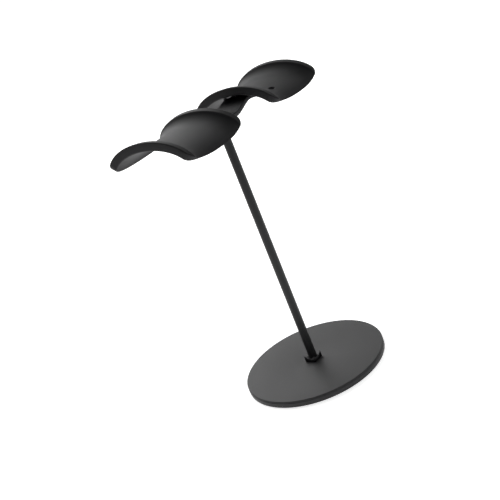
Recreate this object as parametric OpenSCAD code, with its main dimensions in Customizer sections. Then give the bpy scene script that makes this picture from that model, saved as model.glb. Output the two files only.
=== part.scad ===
// Free-standing display stand: a weighted round base, a thin straight post and
// a head of two concave saddles side by side. X runs along the head from saddle
// to saddle, Z is up, and the origin is the centre of the base's underside.

/* [Head] */
// Height from the surface to the top of the saddle rims
stand_h = 240; // [230:1:260]
// Length of the head along X, from outer rim to outer rim
head_l = 165; // [162:1:180]
// Width of one saddle along X
saddle_w = 62; // [58:1:64]
// Half-width of the rim arch across Y
arch_r = 43.4; // [42:0.2:45]
// Height of the rim arch as a share of its half-width
arch_k = 0.51; // [0.46:0.01:0.54]
// Depth of the channel below the rims at the arch's crest
channel_d = 8.4; // [7.8:0.1:8.6]
// Thickness of the saddle under the middle of the channel
saddle_t = 1.9; // [1.8:0.1:2.2]
// Height of the rim's outer face
rim_h = 6.6; // [6:0.1:7]
// Width of the lip along each rim
lip_w = 4.5; // [4:0.1:5]

/* [Post] */
// Outside diameter of the post
post_d = 7.1; // [6.8:0.1:7.4]
// Wall of the post
post_wall = 1; // [0.9:0.1:1.1]

/* [Base] */
// Diameter of the base
base_d = 120; // [110:1:140]
// Height of the base's top face above the surface
base_h = 5.8; // [5.6:0.1:6.4]
// Sheet thickness of the base cover
cover_t = 1.2; // [1:0.1:1.2]

/* [Bridge] */
// Width of the bridge's arms across Y
arm_w = 25; // [22:1:28]
// Thickness of the arms
arm_t = 3.5; // [3:0.1:4]
// Width of the flange under each saddle across Y
flange_w = 36; // [34:1:38]
// Thickness of the flanges
flange_t = 1.5; // [1.4:0.1:1.8]

/* [Hidden] */
$fn = 96;

// Gap between parts that touch on the real object
gap = 0.05;
// Depth that a cut runs past a face
over = 1;

// Base
base_r = base_d / 2;
pad_t = 1;
pad_stand = 0.4;
pad_inset = 3.5;
pad_hole_r = 10;
edge_r = 0.8;
// Fine groove in the cover's wall, just below its rolled edge
groove_d = 0.35;
groove_h = 0.6;
groove_drop = 1;
ballast_top = base_h - cover_t - gap;
recess_r = 8;
recess_top = 3.4;
bolt_r = 2;
bolt_clear_r = 2.2;

// Foot socket
socket_w = 10.2;
socket_h = 6;
dish_r = 8;
dish_z = 9.3;

// Post and its threaded inserts
post_r = post_d / 2;
post_bore_r = post_r - post_wall;
insert_r = post_bore_r - gap;
insert_h = 14;
tap_r = bolt_r + gap;

// Saddle
saddle_x = (head_l - saddle_w) / 2;
lip_u = 1 - 2 * lip_w / saddle_w;
lip_drop = 0.8;
floor_pow = 5;
wall_pow = 0.7;
under_pow = 2.45;
// Share of the channel's depth lost by the ends
channel_taper = 0.8;
// Length along the arch from its crest to the middle of an end and to a corner
end_len = 67.8;
corner_len = 45;
end_pow = 2.6;
// Steps of the saddle's mesh across X and along the arch
nu = 28;
nf = 34;
lip_n = 4;
boss_w = 24;
dimple_r = 2.4;
dimple_depth = 1.1;
dimple_x = 11.3;
dimple_angle = 41.5;

// Bridge
saddle_floor = stand_h - channel_d - saddle_t;
boss_drop = 1.9;
boss_root = 0.4;
boss_z = saddle_floor - boss_drop;
flange_z = boss_z - gap - flange_t;
hub_z = flange_z - 5.7;
hub_flat = 7;
arm_run = 22;
flange_x = 31;
flange_end = 63;
flange_blend = 7;
plan_r = 3;
end_r = 12;
profile_n = 42;
collar_r = 6.5;
collar_h = 9;

// Screws
screw_r = 1.5;
screw_pilot_r = screw_r + gap;
screw_clear_r = 1.7;
screw_head_r = 2.8;
screw_head_h = 1.8;
screw_grip = 4.5;
screw_pitch = 16;
head_r = 3.9;
head_h = 2.2;
washer_t = 0.8;
washer_r = 4.8;
spring_t = 1;
spring_r = 3.7;
spring_slot = 0.8;
hex_r = 1.44;

PAINT = "#2b2b2c";
PLASTIC = "#303031";
STEEL = "#9a9b9d";
BRASS = "#b79a55";
RUBBER = "#1b1b1b";

// Smooth step from 0 to 1
function ease(t) = let(c = min(1, max(0, t))) c * c * (3 - 2 * c);

// Depth of the channel at share w of the way from the arch's crest to the end
function channel_at(w) = channel_d * (1 - channel_taper * w * w);

// Depth of the top and of the underside below the rim's curve at u, from -1 to 1
// across the saddle: a gently sloping lip, a crease, a steep wall and a flat floor
function depth(u, w) =
    let(crease = lip_drop * (1 - channel_taper * w * w))
    abs(u) > lip_u
        ? crease * (1 - abs(u)) / (1 - lip_u)
        : crease + (channel_at(w) - crease) * pow(1 - pow(abs(u) / lip_u, floor_pow), wall_pow);
function under(u, w) = rim_h + (channel_at(w) + saddle_t - rim_h) * (1 - pow(abs(u), under_pow));

// Angle along the arch at which the saddle ends at u
function end_at(u) =
    let(run = corner_len + (end_len - corner_len) * sqrt(1 - pow(abs(u), end_pow)))
    run / arch_r * 180 / PI;

// Point [y, z] on the arch at angle f, a distance d inside the rim's curve
function arch_pt(f, d) =
    let(a = min(90, abs(f)))
    let(run = (abs(f) - a) * PI / 180 * arch_r)
    let(ny = arch_k * sin(a))
    let(nz = cos(a))
    let(n = norm([ny, nz]))
    [
        sign(f) * (arch_r * sin(a) - d * ny / n),
        stand_h - arch_r * arch_k * (1 - cos(a)) - run - d * nz / n
    ];

// Position across the saddle for step i: lip_n steps over each lip, which get
// finer towards the rim, and steps between them that get finer towards the walls
function u_at(i) =
    let(k = min(i, nu - i))
    let(t = (nu / 2 - k) / (nu / 2 - lip_n))
    let(u = k < lip_n ? 1 - (1 - lip_u) * pow(k / lip_n, 2) : lip_u * sin(90 * t))
    i < nu / 2 ? -u : u;

// Point of the saddle at u and share v of the arch; side 0 is the top, 1 the underside
function saddle_pt(u, v, side) =
    let(f = v * end_at(u))
    let(w = min(1, abs(f) * PI / 180 * arch_r / end_len))
    let(p = arch_pt(f, side == 0 ? depth(u, w) : under(u, w)))
    [u * saddle_w / 2, p[0], p[1]];

// Underside and top of the bridge at x, on one side of the hub
function arm_low(x) = hub_z + (flange_z - hub_z) * ease((x - hub_flat) / arm_run);
function arm_top(x) = arm_low(x) + arm_t + (flange_t - arm_t) * ease((x - flange_x) / flange_blend);

// Points along an arc from angle a0 to a1
function arc_pts(c, r, a0, a1, n) = [
    for (i = [0:n]) let(a = a0 + (a1 - a0) * i / n) c + r * [cos(a), sin(a)]
];

// Plan of one arm and its flange, in the first quadrant
function plan_quarter() = concat(
    [[0, arm_w / 2]],
    arc_pts([flange_x - plan_r, arm_w / 2 + plan_r], plan_r, -90, 0, 8),
    arc_pts([flange_x + plan_r, flange_w / 2 - plan_r], plan_r, 180, 90, 8),
    arc_pts([flange_end - end_r, flange_w / 2 - end_r], end_r, 90, 0, 12)
);

module ring(r_out, r_in, h) {
    difference() {
        cylinder(r = r_out, h = h);
        translate([0, 0, -over]) cylinder(r = r_in, h = h + 2 * over);
    }
}

module both_sides() {
    children();
    rotate(180) children();
}

// Cap screw with its head's underside at z = 0 and its shank running down
module cap_screw(r, shank, cap_r, cap_h) {
    translate([0, 0, -shank]) cylinder(r = r, h = shank + cap_h / 2);
    difference() {
        cylinder(r = cap_r, h = cap_h);
        translate([0, 0, cap_h - cap_h * 0.6]) cylinder(r = hex_r, h = cap_h, $fn = 6);
    }
}

module base_pad() {
    color(RUBBER) ring(base_r - pad_inset, pad_hole_r, pad_t);
}

module ballast_disc() {
    color(STEEL) difference() {
        translate([0, 0, pad_t + gap])
            cylinder(r = base_r - cover_t - gap, h = ballast_top - pad_t - gap);
        translate([0, 0, -over]) cylinder(r = recess_r, h = recess_top + over);
        cylinder(r = bolt_clear_r, h = base_h);
    }
}

module base_cover() {
    color(PAINT) difference() {
        rotate_extrude() polygon(concat(
            [[0, pad_stand], [base_r, pad_stand]],
            [for (p = [[0, 0], [1, 0], [1, 1], [0, 1]])
                [base_r - p[0] * groove_d, base_h - groove_drop - groove_h * (1 - p[1])]],
            arc_pts([base_r - edge_r, base_h - edge_r], edge_r, 0, 90, 8),
            [[0, base_h]]
        ));
        translate([0, 0, -over]) cylinder(r = base_r - cover_t, h = base_h - cover_t + over);
        cylinder(r = bolt_clear_r, h = base_h + over);
    }
}

module base_washer() {
    color(STEEL) translate([0, 0, recess_top - gap - washer_t]) ring(washer_r, bolt_clear_r, washer_t);
}

module base_spring_washer() {
    top = recess_top - 2 * gap - washer_t;
    color(STEEL) translate([0, 0, top - spring_t]) difference() {
        ring(spring_r, bolt_clear_r, spring_t);
        rotate([0, 0, 20]) translate([0, -spring_slot / 2, -over])
            cube([spring_r + over, spring_slot, spring_t + 2 * over]);
    }
}

module base_bolt() {
    head_top = recess_top - 3 * gap - washer_t - spring_t;
    low_h = head_top - 0.2;
    color(STEEL) translate([0, 0, head_top]) rotate([180, 0, 0])
        cap_screw(bolt_r, base_h + insert_h - 4 - head_top, head_r, low_h);
}

// Square collar with a dished top, so that its four corners rise like prongs round the post
module foot_socket() {
    color(PAINT) translate([0, 0, base_h + gap]) difference() {
        translate([-socket_w / 2, -socket_w / 2, 0]) cube([socket_w, socket_w, socket_h]);
        translate([0, 0, dish_z]) sphere(r = dish_r, $fn = 64);
        translate([0, 0, -over]) cylinder(r = post_r + gap, h = socket_h + 2 * over);
    }
}

module post() {
    bottom = base_h + gap;
    color(PAINT) translate([0, 0, bottom]) ring(post_r, post_bore_r, hub_z - gap - bottom);
}

module post_insert() {
    color(BRASS) ring(insert_r, tap_r, insert_h);
}

module post_foot_insert() {
    translate([0, 0, base_h + 2 * gap]) post_insert();
}

module post_head_insert() {
    translate([0, 0, hub_z - 2 * gap - insert_h]) post_insert();
}

module bridge_profile() {
    low = [for (i = [0:profile_n]) let(x = flange_end * i / profile_n) [x, arm_low(x)]];
    top = [for (i = [profile_n:-1:0]) let(x = flange_end * i / profile_n) [x, arm_top(x)]];
    polygon(concat(low, top));
}

module bridge_arm() {
    intersection() {
        translate([0, flange_w / 2, 0]) rotate([90, 0, 0]) linear_extrude(flange_w) bridge_profile();
        translate([0, 0, hub_z - over]) linear_extrude(stand_h - hub_z) {
            q = plan_quarter();
            polygon(concat(q, [for (i = [len(q) - 1:-1:0]) [q[i][0], -q[i][1]]]));
        }
    }
}

// Plate that carries both saddles, with the collar that slips over the post
module head_bridge() {
    color(PAINT) difference() {
        union() {
            both_sides() bridge_arm();
            translate([0, 0, hub_z - collar_h]) cylinder(r = collar_r, h = collar_h + arm_t / 2);
        }
        translate([0, 0, hub_z - collar_h - over]) cylinder(r = post_r + gap, h = collar_h + over);
        cylinder(r = bolt_clear_r, h = stand_h);
        both_sides() for (dx = [-0.5, 0.5]) {
            translate([saddle_x + dx * screw_pitch, 0, flange_z - over])
                cylinder(r = screw_clear_r, h = flange_t + 2 * over);
        }
    }
}

module head_washer() {
    color(STEEL) translate([0, 0, hub_z + arm_t + gap]) ring(washer_r, bolt_clear_r, washer_t);
}

module head_bolt() {
    color(STEEL) translate([0, 0, hub_z + arm_t + 2 * gap + washer_t])
        cap_screw(bolt_r, arm_t + washer_t + insert_h - 4, head_r, head_h);
}

module saddle_shell() {
    row = nf + 1;
    count = (nu + 1) * row;
    pts = [
        for (side = [0, 1]) for (i = [0:nu]) for (j = [0:nf])
            saddle_pt(u_at(i), 2 * j / nf - 1, side)
    ];
    sheet = [
        for (i = [0:nu - 1]) for (j = [0:nf - 1])
            let(a = i * row + j) [a, a + 1, a + row + 1, a + row]
    ];
    edge = concat(
        [for (j = [0:nf - 1]) j],
        [for (i = [0:nu - 1]) i * row + nf],
        [for (j = [nf:-1:1]) nu * row + j],
        [for (i = [nu:-1:1]) i * row]
    );
    walls = [
        for (k = [0:len(edge) - 1])
            let(a = edge[k], b = edge[(k + 1) % len(edge)]) [a, b, b + count, a + count]
    ];
    quads = concat(
        sheet,
        [for (q = sheet) [q[3] + count, q[2] + count, q[1] + count, q[0] + count]],
        [for (w = walls) [w[3], w[2], w[1], w[0]]]
    );
    polyhedron(pts, [for (q = quads) for (t = [[q[0], q[1], q[2]], [q[0], q[2], q[3]]]) t]);
}

// Concave saddle at +X, with a flat boss below and a small dimple in its slope
module saddle() {
    dimple = arch_pt(-dimple_angle, channel_at(dimple_angle * PI / 180 * arch_r / end_len));
    tilt = atan2(arch_k * sin(dimple_angle), cos(dimple_angle));
    color(PLASTIC) translate([saddle_x, 0, 0]) difference() {
        union() {
            saddle_shell();
            translate([-boss_w / 2, -boss_w / 2, boss_z]) cube([boss_w, boss_w, boss_drop + boss_root]);
        }
        for (dx = [-0.5, 0.5]) {
            translate([dx * screw_pitch, 0, boss_z - over])
                cylinder(r = screw_pilot_r, h = over + boss_drop + 1.2);
        }
        translate([-dimple_x, dimple[0], dimple[1]]) rotate([tilt, 0, 0])
            translate([0, 0, -dimple_depth]) cylinder(r = dimple_r, h = 5);
    }
}

module saddle_right() {
    saddle();
}

module saddle_left() {
    rotate(180) saddle();
}

module saddle_screws() {
    color(STEEL) both_sides() for (dx = [-0.5, 0.5]) {
        translate([saddle_x + dx * screw_pitch, 0, flange_z - gap]) rotate([180, 0, 0])
            cap_screw(screw_r, screw_grip, screw_head_r, screw_head_h);
    }
}

base_pad();
ballast_disc();
base_cover();
base_bolt();
base_spring_washer();
base_washer();
foot_socket();
post();
post_foot_insert();
post_head_insert();
head_bridge();
head_bolt();
head_washer();
saddle_left();
saddle_right();
saddle_screws();
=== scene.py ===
"""Twin-saddle display stand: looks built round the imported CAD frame.

Lengths are in metres. X runs along the head, Z is up, and the origin is the centre of the
base's underside.
"""
import math

import bmesh
import bpy
import numpy as np
from mathutils import Matrix, Vector


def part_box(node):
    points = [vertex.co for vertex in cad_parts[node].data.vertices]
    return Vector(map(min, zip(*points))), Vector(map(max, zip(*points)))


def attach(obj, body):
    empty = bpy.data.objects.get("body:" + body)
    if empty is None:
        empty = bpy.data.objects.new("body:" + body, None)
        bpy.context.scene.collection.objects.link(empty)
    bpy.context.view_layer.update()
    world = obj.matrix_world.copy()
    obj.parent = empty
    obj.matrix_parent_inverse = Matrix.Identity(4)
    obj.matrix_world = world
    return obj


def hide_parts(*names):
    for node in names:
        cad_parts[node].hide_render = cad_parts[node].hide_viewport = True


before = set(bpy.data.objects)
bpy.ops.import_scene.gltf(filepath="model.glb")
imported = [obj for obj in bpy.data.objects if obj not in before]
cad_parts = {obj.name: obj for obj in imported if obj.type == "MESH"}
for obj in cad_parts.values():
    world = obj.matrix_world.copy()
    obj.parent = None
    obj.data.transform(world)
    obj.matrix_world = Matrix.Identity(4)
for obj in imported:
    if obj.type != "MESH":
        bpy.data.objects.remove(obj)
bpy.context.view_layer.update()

MM = 0.001
BODY = "root"

# Camera and lights
CAM_PLACE = Vector((-0.4822, -0.4556, 0.3569))
CAM_AIM = Vector((0.0394, 0.0184, 0.1006))
CAM_ROLL = math.radians(-21.4)
CAM_LENS = 64.0
CAM_SHIFT = (-0.0666, -0.0241)
LIGHT_AIM = Vector((0, 0, 0.1))

# Sizes taken from the frame
SADDLE_LOW, SADDLE_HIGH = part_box("saddle_right")
COVER_LOW, COVER_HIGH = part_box("base_cover")
POST_LOW, POST_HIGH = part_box("post")
BRIDGE_LOW, BRIDGE_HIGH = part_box("head_bridge")
SOCKET_LOW, SOCKET_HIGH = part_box("foot_socket")

# Gap between parts that touch on the real stand
GAP = 0.05 * MM

# Saddle: the same surface as the CAD model's
SADDLE_W = SADDLE_HIGH.x - SADDLE_LOW.x
SADDLE_X = (SADDLE_HIGH.x + SADDLE_LOW.x) / 2
STAND_H = SADDLE_HIGH.z
ARCH_R = 43.4 * MM
ARCH_K = 0.51
CHANNEL_D = 8.4 * MM
# Powers that shape the flat floor, the steep wall and the rounded underside
FLOOR_POW = 5
WALL_POW = 0.7
UNDER_POW = 2.45
# Share of the channel's depth lost by the ends
CHANNEL_TAPER = 0.8
SADDLE_T = 1.9 * MM
RIM_H = 6.6 * MM
LIP_U = 1 - 2 * 4.5 * MM / SADDLE_W
LIP_DROP = 0.8 * MM
# From the arch's crest to the middle of an end and to a corner, on the arch's circle
END_LEN = 67.8 * MM
CORNER_LEN = 45 * MM
END_POW = 2.6
EDGE_R = 0.9 * MM
BOSS_W = 24 * MM
BOSS_DROP = 1.9 * MM
BOSS_ROOT = 0.4 * MM
BOSS_Z = STAND_H - CHANNEL_D - SADDLE_T - BOSS_DROP
DIMPLE_R = 2.4 * MM
DIMPLE_DEPTH = 1.1 * MM
DIMPLE_X = -11.3 * MM
DIMPLE_ANGLE = math.radians(-41.5)

# Bridge: the same arms and flanges as the CAD model's
FLANGE_T = 1.5 * MM
FLANGE_X = 31 * MM
FLANGE_BLEND = 7 * MM
ARM_T = 3.5 * MM
ARM_FLAT = 7 * MM
ARM_RUN = 22 * MM
ARM_W = 25 * MM
PLAN_R = 3 * MM
END_R = 12 * MM
COLLAR_R = 6.5 * MM
COLLAR_H = 9 * MM
HUB_Z = BRIDGE_LOW.z + COLLAR_H
FLANGE_Z = BOSS_Z - GAP - FLANGE_T
BOLT_HOLE_R = 2.2 * MM
SCREW_HOLE_R = 1.7 * MM
SCREW_PITCH = 16 * MM

# Base cover: sheet, rolled edge and the fine groove below it
COVER_T = 1.2 * MM
COVER_ROLL = 0.55 * MM
GROOVE_DROP = 1 * MM
GROOVE_H = 0.6 * MM
GROOVE_D = 0.35 * MM

# Foot socket: radius of its dished top, and that sphere's centre above the socket's foot
DISH_R = 8 * MM
DISH_Z = 9.3 * MM

POST_WALL = 1 * MM


# ---------- materials ----------

def socket(shader, name, value):
    """Sets one input of a shader node."""
    shader.inputs[name].default_value = value


def coated(name, color, rough, grain, grain_depth, specular=0.5, sheen=0.0):
    """Matte or satin black surface.

    Fine grain in the bump, slow drift in colour and roughness, and worn edges.
    """
    mat = bpy.data.materials.new(name)
    mat.use_nodes = True
    nodes, links = mat.node_tree.nodes, mat.node_tree.links
    shader = nodes["Principled BSDF"]
    socket(shader, "Specular IOR Level", specular)
    socket(shader, "Sheen Weight", sheen)
    coords = nodes.new("ShaderNodeTexCoord")

    fine = nodes.new("ShaderNodeTexNoise")
    socket(fine, "Scale", grain)
    socket(fine, "Detail", 3.0)
    slow = nodes.new("ShaderNodeTexNoise")
    socket(slow, "Scale", 38.0)
    socket(slow, "Detail", 4.0)
    for texture in (fine, slow):
        links.new(coords.outputs["Object"], texture.inputs["Vector"])

    tint = nodes.new("ShaderNodeValToRGB")
    tint.color_ramp.elements[0].position = 0.3
    tint.color_ramp.elements[0].color = [c * 0.88 for c in color] + [1]
    tint.color_ramp.elements[1].position = 0.7
    tint.color_ramp.elements[1].color = [c * 1.1 for c in color] + [1]
    links.new(slow.outputs["Fac"], tint.inputs["Fac"])

    edge = nodes.new("ShaderNodeNewGeometry")
    worn = nodes.new("ShaderNodeMapRange")
    socket(worn, "From Min", 0.54)
    socket(worn, "From Max", 0.66)
    links.new(edge.outputs["Pointiness"], worn.inputs["Value"])
    mix = nodes.new("ShaderNodeMix")
    mix.data_type = "RGBA"
    # A mix node's colour sockets share their names with others, so they go by number
    factor, plain, bare = mix.inputs[0], mix.inputs[6], mix.inputs[7]
    bare.default_value = [c * 1.7 + 0.004 for c in color] + [1]
    links.new(worn.outputs["Result"], factor)
    links.new(tint.outputs["Color"], plain)
    links.new(mix.outputs[2], shader.inputs["Base Color"])

    spread = nodes.new("ShaderNodeMapRange")
    socket(spread, "To Min", rough - 0.05)
    socket(spread, "To Max", rough + 0.05)
    links.new(slow.outputs["Fac"], spread.inputs["Value"])
    links.new(spread.outputs["Result"], shader.inputs["Roughness"])

    bump = nodes.new("ShaderNodeBump")
    socket(bump, "Strength", 0.35)
    socket(bump, "Distance", grain_depth)
    links.new(fine.outputs["Fac"], bump.inputs["Height"])
    links.new(bump.outputs["Normal"], shader.inputs["Normal"])
    return mat


def metal(name, color, rough, scale):
    """Bare or plated metal with fine turning marks."""
    mat = coated(name, color, rough, scale, 0.00002)
    socket(mat.node_tree.nodes["Principled BSDF"], "Metallic", 1.0)
    return mat


def rubber(name, color):
    """Foam rubber with open pores."""
    return coated(name, color, 0.85, 1400.0, 0.00012, specular=0.25)


BASE_PAINT = coated("base_paint", (0.023, 0.023, 0.024), 0.55, 2600.0, 0.00004, specular=0.35)
POST_PAINT = coated("post_paint", (0.016, 0.016, 0.017), 0.42, 2600.0, 0.00003, specular=0.3)
BRIDGE_PAINT = coated("bridge_paint", (0.014, 0.014, 0.015), 0.45, 2600.0, 0.00003, specular=0.25)
SADDLE_PLASTIC = coated("saddle_plastic", (0.014, 0.014, 0.015), 0.58, 1800.0, 0.00003, specular=0.16)
ZINC = metal("zinc", (0.52, 0.52, 0.54), 0.34, 900.0)
BLACK_STEEL = metal("black_steel", (0.05, 0.05, 0.052), 0.36, 900.0)
BRASS = metal("brass", (0.7, 0.52, 0.25), 0.3, 700.0)
FOAM = rubber("foam", (0.02, 0.02, 0.02))


# ---------- mesh helpers ----------

def closed_mesh(name, verts, faces):
    """Makes a mesh whose faces all look outwards."""
    mesh = bpy.data.meshes.new(name)
    mesh.from_pydata([tuple(v) for v in verts], [], [tuple(f) for f in faces])
    bm = bmesh.new()
    bm.from_mesh(mesh)
    bmesh.ops.recalc_face_normals(bm, faces=bm.faces)
    bm.to_mesh(mesh)
    bm.free()
    return mesh


def new_object(name, data):
    """Makes an object and links it into the scene."""
    obj = bpy.data.objects.new(name, data)
    bpy.context.scene.collection.objects.link(obj)
    return obj


def piece(name, verts, faces, material, slot, *nodes):
    """Makes a smooth-shaded piece that rides on the stand and stands for the named CAD nodes."""
    mesh = closed_mesh(name, verts, faces)
    mesh.shade_smooth()
    mesh.materials.append(material)
    obj = new_object(name, mesh)
    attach(obj, BODY)
    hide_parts(*nodes)
    return obj


def apply_modifiers(obj):
    """Bakes the object's modifiers into its mesh."""
    graph = bpy.context.evaluated_depsgraph_get()
    baked = bpy.data.meshes.new_from_object(obj.evaluated_get(graph))
    obj.modifiers.clear()
    obj.data = baked


def loft(loops, closed=False):
    """Faces between loops of equal length, where each loop is a closed ring of points."""
    count = len(loops[0])
    verts = [point for ring in loops for point in ring]
    faces = []
    last = len(loops) if closed else len(loops) - 1
    for i in range(last):
        a, b = i * count, (i + 1) % len(loops) * count
        for j in range(count):
            k = (j + 1) % count
            faces.append((a + j, a + k, b + k, b + j))
    if not closed:
        faces.append(tuple(range(count))[::-1])
        faces.append(tuple((len(loops) - 1) * count + j for j in range(count)))
    return verts, faces


def circle(radius, z, x=0, y=0, steps=48):
    """Points of a level circle."""
    angles = [2 * math.pi * i / steps for i in range(steps)]
    return [Vector((x + radius * math.cos(a), y + radius * math.sin(a), z)) for a in angles]


def lathe(profile, steps):
    """Turns a closed profile of (radius, height) points round Z."""
    rings = []
    for i in range(steps):
        a = 2 * math.pi * i / steps
        rings.append([(r * math.cos(a), r * math.sin(a), z) for r, z in profile])
    return loft(rings, closed=True)


def fillet(points, radius, steps=5):
    """Rounds each corner of a closed outline; radius is one value or one for each corner."""
    out = []
    count = len(points)
    radii = [radius] * count if isinstance(radius, (int, float)) else radius
    for i in range(count):
        before, here, after = (Vector(points[(i + d) % count]) for d in (-1, 0, 1))
        if radii[i] <= 0:
            out.append(tuple(here))
            continue
        to_before, to_after = (before - here), (after - here)
        angle = to_before.angle(to_after)
        trim = min(radii[i] / math.tan(angle / 2), to_before.length * 0.48, to_after.length * 0.48)
        start = here + to_before.normalized() * trim
        end = here + to_after.normalized() * trim
        for s in range(steps + 1):
            t = s / steps
            out.append(tuple((1 - t) ** 2 * start + 2 * t * (1 - t) * here + t ** 2 * end))
    return out


def rounded_slab(width, low, high, radius, edge):
    """Square slab with rounded corners and softened top and bottom edges, centred on Z."""
    half = width / 2
    loops = []
    for inset, z in ((edge, low), (0, low + edge), (0, high - edge), (edge, high)):
        w = half - inset
        square = [(-w, -w, 0), (w, -w, 0), (w, w, 0), (-w, w, 0)]
        loops.append([(p[0], p[1], z) for p in fillet(square, radius)])
    return loft(loops)


def cut(obj, verts, faces):
    """Takes a closed solid out of a piece."""
    cutter = new_object("cutter", closed_mesh("cutter", verts, faces))
    modifier = obj.modifiers.new("cut", "BOOLEAN")
    modifier.operation = "DIFFERENCE"
    modifier.object = cutter
    modifier.solver = "EXACT"
    apply_modifiers(obj)
    bpy.data.objects.remove(cutter)


def add_shell(obj, verts, faces):
    """Adds a closed shell to a piece's mesh."""
    shell = closed_mesh("shell", verts, faces)
    shell.shade_smooth()
    bm = bmesh.new()
    bm.from_mesh(shell)
    bm.from_mesh(obj.data)
    bm.to_mesh(obj.data)
    bm.free()
    bpy.data.meshes.remove(shell)


# ---------- saddles ----------

def channel_at(s):
    """Depth of the channel's middle at length s round the arch."""
    return CHANNEL_D * (1 - CHANNEL_TAPER * (s / END_LEN) ** 2)


def top_depth(u, s):
    """Depth of the top surface below the rim's curve.

    From the rim inwards: a sloping lip, a crease, a steep wall and a flat floor.
    """
    crease = LIP_DROP * channel_at(s) / CHANNEL_D
    lip = crease * (1 - np.abs(u)) / (1 - LIP_U)
    inside = np.minimum(1, np.abs(u) / LIP_U)
    channel = crease + (channel_at(s) - crease) * (1 - inside ** FLOOR_POW) ** WALL_POW
    return np.where(np.abs(u) > LIP_U, lip, channel)


def under_depth(u, s):
    """Depth of the underside below the rim's curve."""
    return RIM_H + (channel_at(s) + SADDLE_T - RIM_H) * (1 - np.abs(u) ** UNDER_POW)


def end_length(u):
    """Length round the arch from its crest to the saddle's end, at share u across the saddle."""
    return CORNER_LEN + (END_LEN - CORNER_LEN) * np.sqrt(1 - np.abs(u) ** END_POW)


def arch_points(u, s, depth):
    """Points at share u across the saddle and length s round the arch, at a depth below the rim.

    The arch is a circle of radius ARCH_R flattened to ARCH_K of its height. Lengths are measured
    on the circle, and depths square to the flattened arch.
    """
    a = np.abs(s) / ARCH_R
    ny, nz = ARCH_K * np.sin(a), np.cos(a)
    n = np.hypot(ny, nz)
    y = np.sign(s) * (ARCH_R * np.sin(a) - depth * ny / n)
    z = STAND_H - ARCH_R * ARCH_K * (1 - np.cos(a)) - depth * nz / n
    return np.stack([u * SADDLE_W / 2, y, z], -1)


def saddle_outline(count, samples=4000):
    """Outline of the saddle laid out flat, as u and s, evenly spaced.

    A quarter is sampled finely, from an end's middle to a corner and on to the crest's side. It is
    then divided evenly and mirrored.
    """
    across = np.sin(np.linspace(0, 1, samples) * math.pi / 2)
    end = end_length(across)
    u = np.concatenate([across, np.ones(samples)])
    s = np.concatenate([end, np.linspace(end[-1], 0, samples)])
    x = u * SADDLE_W / 2
    far = np.concatenate([[0], np.cumsum(np.hypot(np.diff(x), np.diff(s)))])
    at = np.linspace(0, far[-1], count // 4 + 1)
    uq, sq = np.interp(at, far, u), np.interp(at, far, s)
    u = np.concatenate([uq[:-1], uq[:0:-1], -uq[:-1], -uq[:0:-1]])
    s = np.concatenate([sq[:-1], -sq[:0:-1], -sq[:-1], sq[:0:-1]])
    return u, s


def saddle_shell(count=400, rings=90):
    """The moulded shell: concentric rings over the top and the underside, with rounded edges."""
    u, s = saddle_outline(count)
    x = u * SADDLE_W / 2
    tangent = np.stack([np.roll(x, -1) - np.roll(x, 1), np.roll(s, -1) - np.roll(s, 1)])
    tangent /= np.hypot(*tangent)
    reach = np.abs(x * -tangent[1] + s * tangent[0])
    turn = np.linspace(0, math.pi / 2, 7)
    loops = [(far * (1 - EDGE_R * 1.05 / reach), 0.0) for far in np.linspace(0, 1, rings)[1:-1]]
    for angle in turn:
        loops.append((1 - EDGE_R * (1 - np.sin(angle)) / reach, EDGE_R * (1 - np.cos(angle))))
    top, under = [], []
    for share, drop in loops:
        uu, ss = u * share, s * share
        top.append(arch_points(uu, ss, top_depth(uu, ss) + drop))
        under.append(arch_points(uu, ss, under_depth(uu, ss) - drop))
    verts = [arch_points(0.0, 0.0, CHANNEL_D)]
    for row in top + under[::-1]:
        verts.extend(row)
    verts.append(arch_points(0.0, 0.0, CHANNEL_D + SADDLE_T))
    faces = []
    total = len(top) + len(under)
    for i in range(total - 1):
        a, b = 1 + i * count, 1 + (i + 1) * count
        faces += [(a + j, a + (j + 1) % count, b + (j + 1) % count, b + j) for j in range(count)]
    tail = len(verts) - 1
    base = 1 + (total - 1) * count
    faces += [(0, 1 + (j + 1) % count, 1 + j) for j in range(count)]
    faces += [(tail, base + j, base + (j + 1) % count) for j in range(count)]
    return verts, faces


def dimple(spin):
    """Solid that cuts the blind dimple, square to the channel's floor."""
    u, s = DIMPLE_X * 2 / SADDLE_W, DIMPLE_ANGLE * ARCH_R
    seat = arch_points(u, s, channel_at(s))
    tilt = math.atan2(ARCH_K * math.sin(-DIMPLE_ANGLE), math.cos(DIMPLE_ANGLE))
    place = spin @ Matrix.Translation(seat) @ Matrix.Rotation(tilt, 4, "X")
    bottom, mouth = DIMPLE_R * 0.8, DIMPLE_R * 1.3
    profile = [(bottom, -DIMPLE_DEPTH), (DIMPLE_R, -0.3 * MM), (mouth, 0.5 * MM), (mouth, 3 * MM)]
    return loft([[place @ point for point in circle(r, z)] for r, z in profile])


def saddle(name, turn):
    """One saddle with its screw boss, turned round Z into its place."""
    verts, faces = saddle_shell()
    slab, slab_faces = rounded_slab(BOSS_W, BOSS_Z, BOSS_Z + BOSS_DROP + BOSS_ROOT, 3 * MM, 0.3 * MM)
    faces += [tuple(i + len(verts) for i in f) for f in slab_faces]
    verts += slab
    spin = Matrix.Rotation(turn, 4, "Z") @ Matrix.Translation((SADDLE_X, 0, 0))
    verts = [spin @ Vector(v) for v in verts]
    obj = piece(name + "_moulding", verts, faces, SADDLE_PLASTIC, "saddle_plastic", name)
    cut(obj, *dimple(spin))
    return obj


# ---------- base ----------

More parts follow.
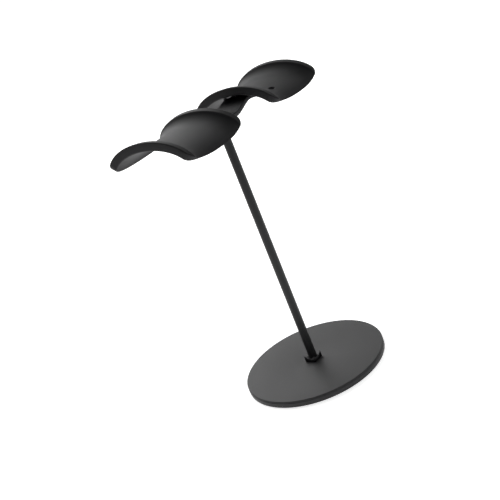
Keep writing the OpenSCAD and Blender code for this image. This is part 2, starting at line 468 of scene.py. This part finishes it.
def base_cover():
    """Pressed cover: flat top, small rolled edge, a fine groove below it, upright wall."""
    r, top, low = COVER_HIGH.x, COVER_HIGH.z, COVER_LOW.z
    inner_r, inner_top = r - COVER_T, top - COVER_T
    groove_r, groove_top = r - GROOVE_D, top - GROOVE_DROP
    groove_low = groove_top - GROOVE_H
    outline = [
        (BOLT_HOLE_R, inner_top), (BOLT_HOLE_R, top), (r - COVER_ROLL, top), (r, top - COVER_ROLL),
        (r, groove_top), (groove_r, groove_top), (groove_r, groove_low), (r, groove_low),
        (r, low), (inner_r, low), (inner_r, inner_top)
    ]
    radii = [MM * size for size in (0, 0.2, 0.3, 0.3, 0.08, 0.05, 0.05, 0.08, 0.3, 0.3, 0)]
    profile = [(p[0], p[1]) for p in fillet([(a, b, 0) for a, b in outline], radii, 4)]
    verts, faces = lathe(profile, 256)
    return piece("base_cover_pressing", verts, faces, BASE_PAINT, "base_paint", "base_cover")


def dish_height(reach):
    """Height of the foot socket's dished top at a distance from the post's axis."""
    return SOCKET_LOW.z + DISH_Z - math.sqrt(DISH_R ** 2 - reach ** 2)


def foot_socket(steps=24):
    """Square collar with a dished top, so that its corners rise like prongs round the post."""
    half, low = SOCKET_HIGH.x, SOCKET_LOW.z
    bore = POST_HIGH.x + GAP
    edge = 0.2 * MM
    outline = []
    for side in range(4):
        for i in range(steps):
            point = Vector((half, half * (2 * i / steps - 1), 0))
            point.rotate(Matrix.Rotation(side * math.pi / 2, 3, "Z"))
            outline.append(point)
    rows = [[(p.x, p.y, low) for p in outline]]
    rows.append([(p.x, p.y, dish_height(p.length) - edge) for p in outline])
    for share in np.linspace(0, 1, 9):
        row = []
        for p in outline:
            reach = (p.length - edge) * (1 - share) + bore * share
            q = p.normalized() * reach
            row.append((q.x, q.y, dish_height(reach)))
        rows.append(row)
    rows.append([(x, y, low) for x, y, z in rows[-1]])
    verts, faces = loft(rows, closed=True)
    return piece("foot_socket_collar", verts, faces, POST_PAINT, "post_paint", "foot_socket")


def post():
    """Drawn tube with softened rims."""
    r, low, high = POST_HIGH.x, POST_LOW.z, POST_HIGH.z
    bore = r - POST_WALL
    outline = [(bore, low, 0), (r, low, 0), (r, high, 0), (bore, high, 0)]
    profile = [(p[0], p[1]) for p in fillet(outline, 0.2 * MM, 3)]
    verts, faces = lathe(profile, 96)
    return piece("post_tube", verts, faces, POST_PAINT, "post_paint", "post")


# ---------- bridge ----------

def ease(t):
    """Smooth step from 0 to 1."""
    t = min(1, max(0, t))
    return t * t * (3 - 2 * t)


def arm_low(x):
    """Height of the underside of the arm and the flange at a distance from the post."""
    return HUB_Z + (FLANGE_Z - HUB_Z) * ease((x - ARM_FLAT) / ARM_RUN)


def arm_top(x):
    """Height of the top of the arm and the flange at a distance from the post."""
    return arm_low(x) + ARM_T + (FLANGE_T - ARM_T) * ease((x - FLANGE_X) / FLANGE_BLEND)


def half_width(x):
    """Half-width of the bridge in plan: arm, fillet, corner, flange, end corner."""
    wide, end = BRIDGE_HIGH.y, BRIDGE_HIGH.x
    if x < FLANGE_X - PLAN_R:
        return ARM_W / 2
    if x < FLANGE_X:
        return ARM_W / 2 + PLAN_R - math.sqrt(PLAN_R ** 2 - (x - FLANGE_X + PLAN_R) ** 2)
    if x < FLANGE_X + PLAN_R:
        return wide - PLAN_R + math.sqrt(PLAN_R ** 2 - (x - FLANGE_X - PLAN_R) ** 2)
    if x > end - END_R:
        return wide - END_R + math.sqrt(max(0, END_R ** 2 - (x - end + END_R) ** 2))
    return wide


def bridge_section(x, edge):
    """Cross-section at x, with softened edges."""
    low, high, half = arm_low(abs(x)), arm_top(abs(x)), half_width(abs(x))
    corners = [(-half, low, 0), (half, low, 0), (half, high, 0), (-half, high, 0)]
    return [(x, p[0], p[1]) for p in fillet(corners, edge, 4)]


def disc(x, y, radius, low, high):
    """Upright cylinder for cutting a hole."""
    return loft([circle(radius, z, x, y) for z in (low, high)])


def head_bridge():
    """Dipped arms with a flange under each saddle, and the collar that slips over the post."""
    end = BRIDGE_HIGH.x
    arm = np.linspace(0, FLANGE_X - PLAN_R, 40)
    blend = np.linspace(FLANGE_X - PLAN_R, FLANGE_X + 9 * MM, 40)[1:]
    corner = end - END_R + END_R * np.sin(np.linspace(0, math.pi / 2, 24))
    half = np.concatenate([arm, blend, corner])
    stations = np.concatenate([-half[:0:-1], half])
    verts, faces = loft([bridge_section(x, 0.6 * MM) for x in stations])
    obj = piece("head_bridge_casting", verts, faces, BRIDGE_PAINT, "bridge_paint", "head_bridge")
    cut(obj, *disc(0, 0, BOLT_HOLE_R, HUB_Z - MM, HUB_Z + 2 * ARM_T))
    for side in (-1, 1):
        for step in (-0.5, 0.5):
            x = side * (SADDLE_X + step * SCREW_PITCH)
            cut(obj, *disc(x, 0, SCREW_HOLE_R, FLANGE_Z - MM, FLANGE_Z + FLANGE_T + MM))

    bore, low, top = POST_HIGH.x + GAP, HUB_Z - COLLAR_H, HUB_Z + 0.5 * MM
    outline = [
        (bore, low, 0), (COLLAR_R, low, 0), (COLLAR_R, top, 0),
        (BOLT_HOLE_R, top, 0), (BOLT_HOLE_R, HUB_Z, 0), (bore, HUB_Z, 0)
    ]
    profile = fillet(outline, [radius * MM for radius in (0.3, 0.7, 0, 0, 0, 0)], 4)
    add_shell(obj, *lathe([(p[0], p[1]) for p in profile], 96))
    return obj


# ---------- stage ----------

def make_stage():
    """White sweep: a floor that curves up into a wall behind the stand."""
    mat = bpy.data.materials.new("sweep")
    mat.use_nodes = True
    shader = mat.node_tree.nodes["Principled BSDF"]
    socket(shader, "Base Color", (0.9, 0.9, 0.9, 1))
    socket(shader, "Roughness", 0.9)
    socket(shader, "Emission Color", (1, 1, 1, 1))
    socket(shader, "Emission Strength", 0.7)
    away = (CAM_AIM - CAM_PLACE).xy.normalized()
    along = Vector((-away.y, away.x))
    start, bend, radius, height = -6.0, 1.6, 1.2, 4.0
    profile = [(start, 0)]
    for i in range(25):
        a = math.pi / 2 * i / 24
        profile.append((bend + radius * math.sin(a), radius * (1 - math.cos(a))))
    profile.append((bend + radius, height))
    verts = []
    for reach, z in profile:
        for side in (-6, 6):
            place = away * reach + along * side
            verts.append((place.x, place.y, z))
    faces = [(2 * i, 2 * i + 2, 2 * i + 3, 2 * i + 1) for i in range(len(profile) - 1)]
    mesh = bpy.data.meshes.new("sweep")
    mesh.from_pydata(verts, [], faces)
    mesh.shade_smooth()
    mesh.materials.append(mat)
    new_object("sweep", mesh)


def make_world():
    """Dim white surroundings, shown without a film-like tone curve."""
    world = bpy.data.worlds.new("studio")
    world.use_nodes = True
    back = world.node_tree.nodes["Background"]
    socket(back, "Color", (1, 1, 1, 1))
    socket(back, "Strength", 0.1)
    bpy.context.scene.world = world
    bpy.context.scene.view_settings.view_transform = "Standard"


def area_light(name, place, size, power):
    """Round soft light aimed at the stand."""
    data = bpy.data.lights.new(name, "AREA")
    data.shape = "DISK"
    data.size = size
    data.energy = power
    light = new_object(name, data)
    light.location = place
    light.rotation_euler = (LIGHT_AIM - Vector(place)).to_track_quat("-Z", "Y").to_euler()


def make_camera():
    """Camera from the front left, rolled so that the stand leans."""
    data = bpy.data.cameras.new("camera")
    data.lens = CAM_LENS
    data.sensor_width = 36
    data.shift_x, data.shift_y = CAM_SHIFT
    cam = new_object("camera", data)
    turn = (CAM_AIM - CAM_PLACE).to_track_quat("-Z", "Y").to_matrix().to_4x4()
    cam.matrix_world = Matrix.Translation(CAM_PLACE) @ turn @ Matrix.Rotation(CAM_ROLL, 4, "Z")
    bpy.context.scene.camera = cam


def finish_nodes():
    """Materials for the CAD nodes that show as they are."""
    looks = {
        "base_pad": FOAM,
        "ballast_disc": ZINC,
        "base_bolt": ZINC,
        "base_spring_washer": ZINC,
        "base_washer": ZINC,
        "post_foot_insert": BRASS,
        "post_head_insert": BRASS,
        "head_bolt": BLACK_STEEL,
        "head_washer": BLACK_STEEL,
        "saddle_screws": BLACK_STEEL,
    }
    for node, look in looks.items():
        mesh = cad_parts[node].data
        mesh.materials.clear()
        mesh.materials.append(look)


make_camera()
saddle("saddle_right", 0)
saddle("saddle_left", math.pi)
base_cover()
foot_socket()
post()
head_bridge()
finish_nodes()
make_stage()
make_world()
area_light("key", (0.45, 1.4, 1.25), 1.6, 22)
area_light("fill", (0.3, -0.9, 1.4), 1.0, 5)
